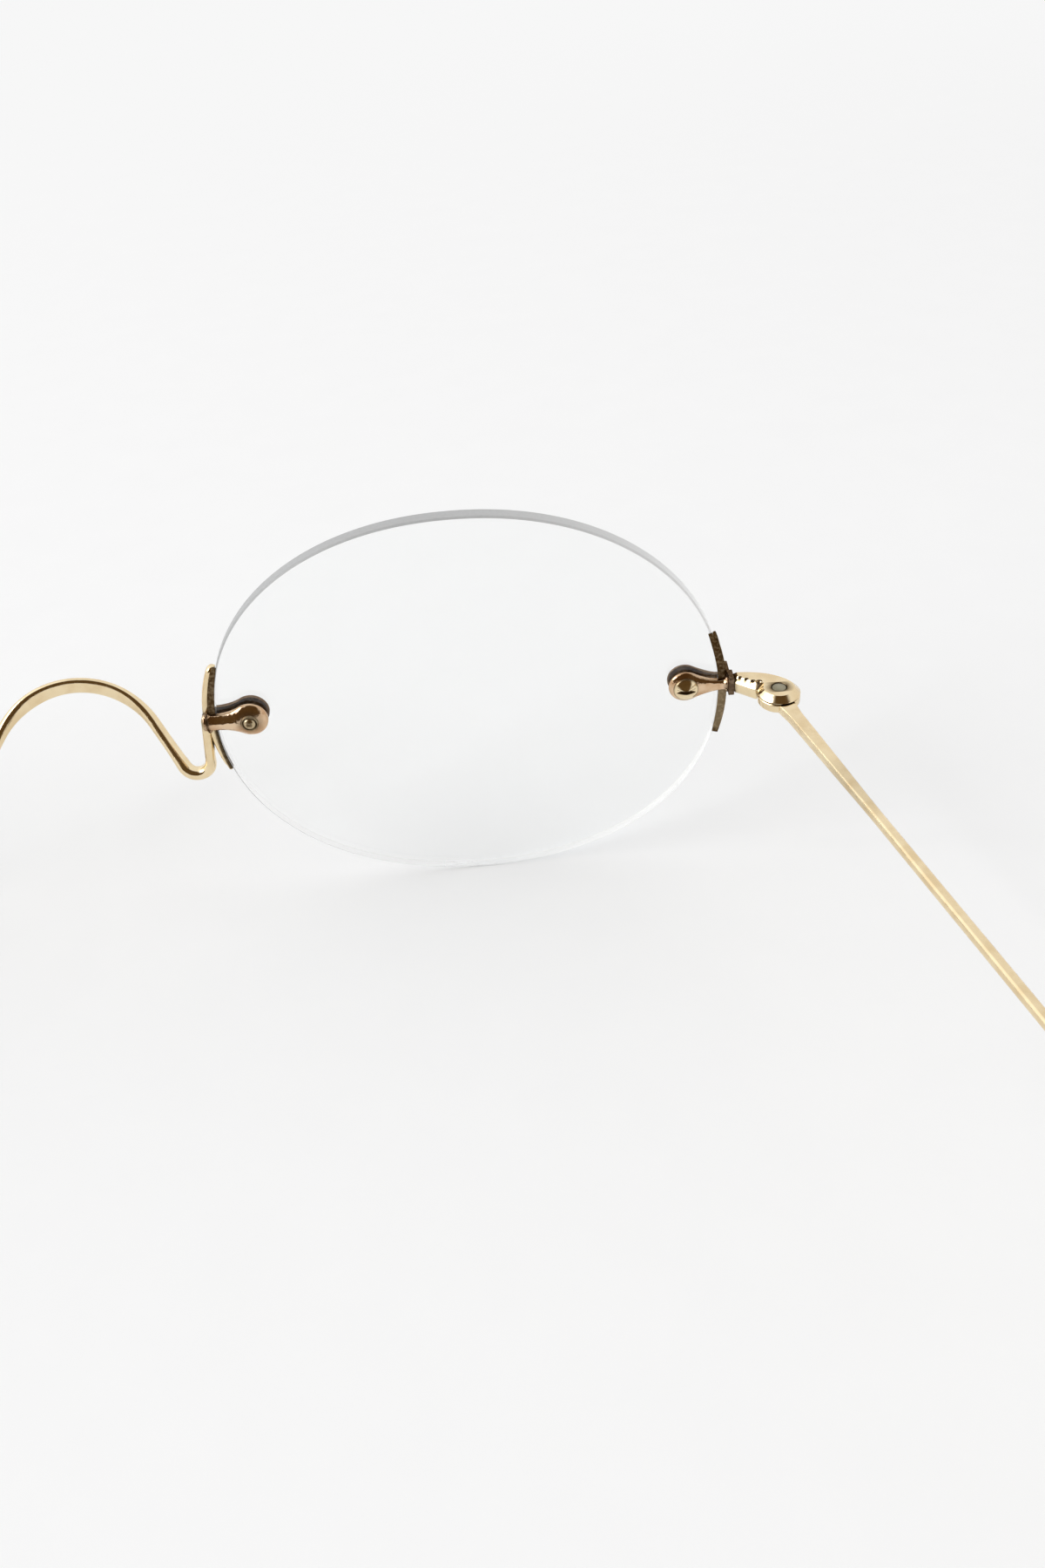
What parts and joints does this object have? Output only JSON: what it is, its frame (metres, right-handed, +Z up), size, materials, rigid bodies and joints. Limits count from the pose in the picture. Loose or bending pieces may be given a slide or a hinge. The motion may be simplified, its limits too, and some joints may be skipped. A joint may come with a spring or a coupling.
{
  "type": "rimless spectacles",
  "caption": "Rimless oval spectacles with a bent wire bridge, screwed strap mounts on the glass and thin wire temples that fold on a small hinge.",
  "frame": {"origin": "on the table, under the middle of the open spectacles", "axes": "+X to the wearer's right, +Y forward, from the temples to the lenses, +Z up"},
  "size_m": [0.1836, 0.1322, 0.0344],
  "materials": {
    "glass": "clear polished glass with a ground edge",
    "gold": "polished yellow gold, worn and tarnished in the corners",
    "rose_gold": "polished gold of a slightly redder tone",
    "steel": "dull worn steel"
  },
  "bodies": {
    "front": {"bridge": "gold", "lens_right": "glass", "nasal_shoe_right": "gold", "nasal_strap_right": "rose_gold", "nasal_screw_right": "gold", "temporal_shoe_right": "gold", "temporal_strap_right": "rose_gold", "temporal_screw_right": "gold", "endpiece_right": "gold", "hinge_screw_right": "steel", "lens_left": "glass", "nasal_shoe_left": "gold", "nasal_strap_left": "rose_gold", "nasal_screw_left": "gold", "temporal_shoe_left": "gold", "temporal_strap_left": "rose_gold", "temporal_screw_left": "gold", "endpiece_left": "gold", "hinge_screw_left": "steel"},
    "temple_right": {"temple_right": "gold"},
    "temple_left": {"temple_left": "gold"}
  },
  "joints": [
    {"name": "fold_right", "type": "hinge", "parent": "front", "child": "temple_right", "pos_m": [0.05753, 0.05709, 0.01652], "axis": [0, 0, -1], "range_deg": [0, 104]},
    {"name": "fold_left", "type": "hinge", "parent": "front", "child": "temple_left", "pos_m": [-0.05753, 0.05709, 0.01652], "axis": [0, 0, 1], "range_deg": [0, 90]}
  ]
}
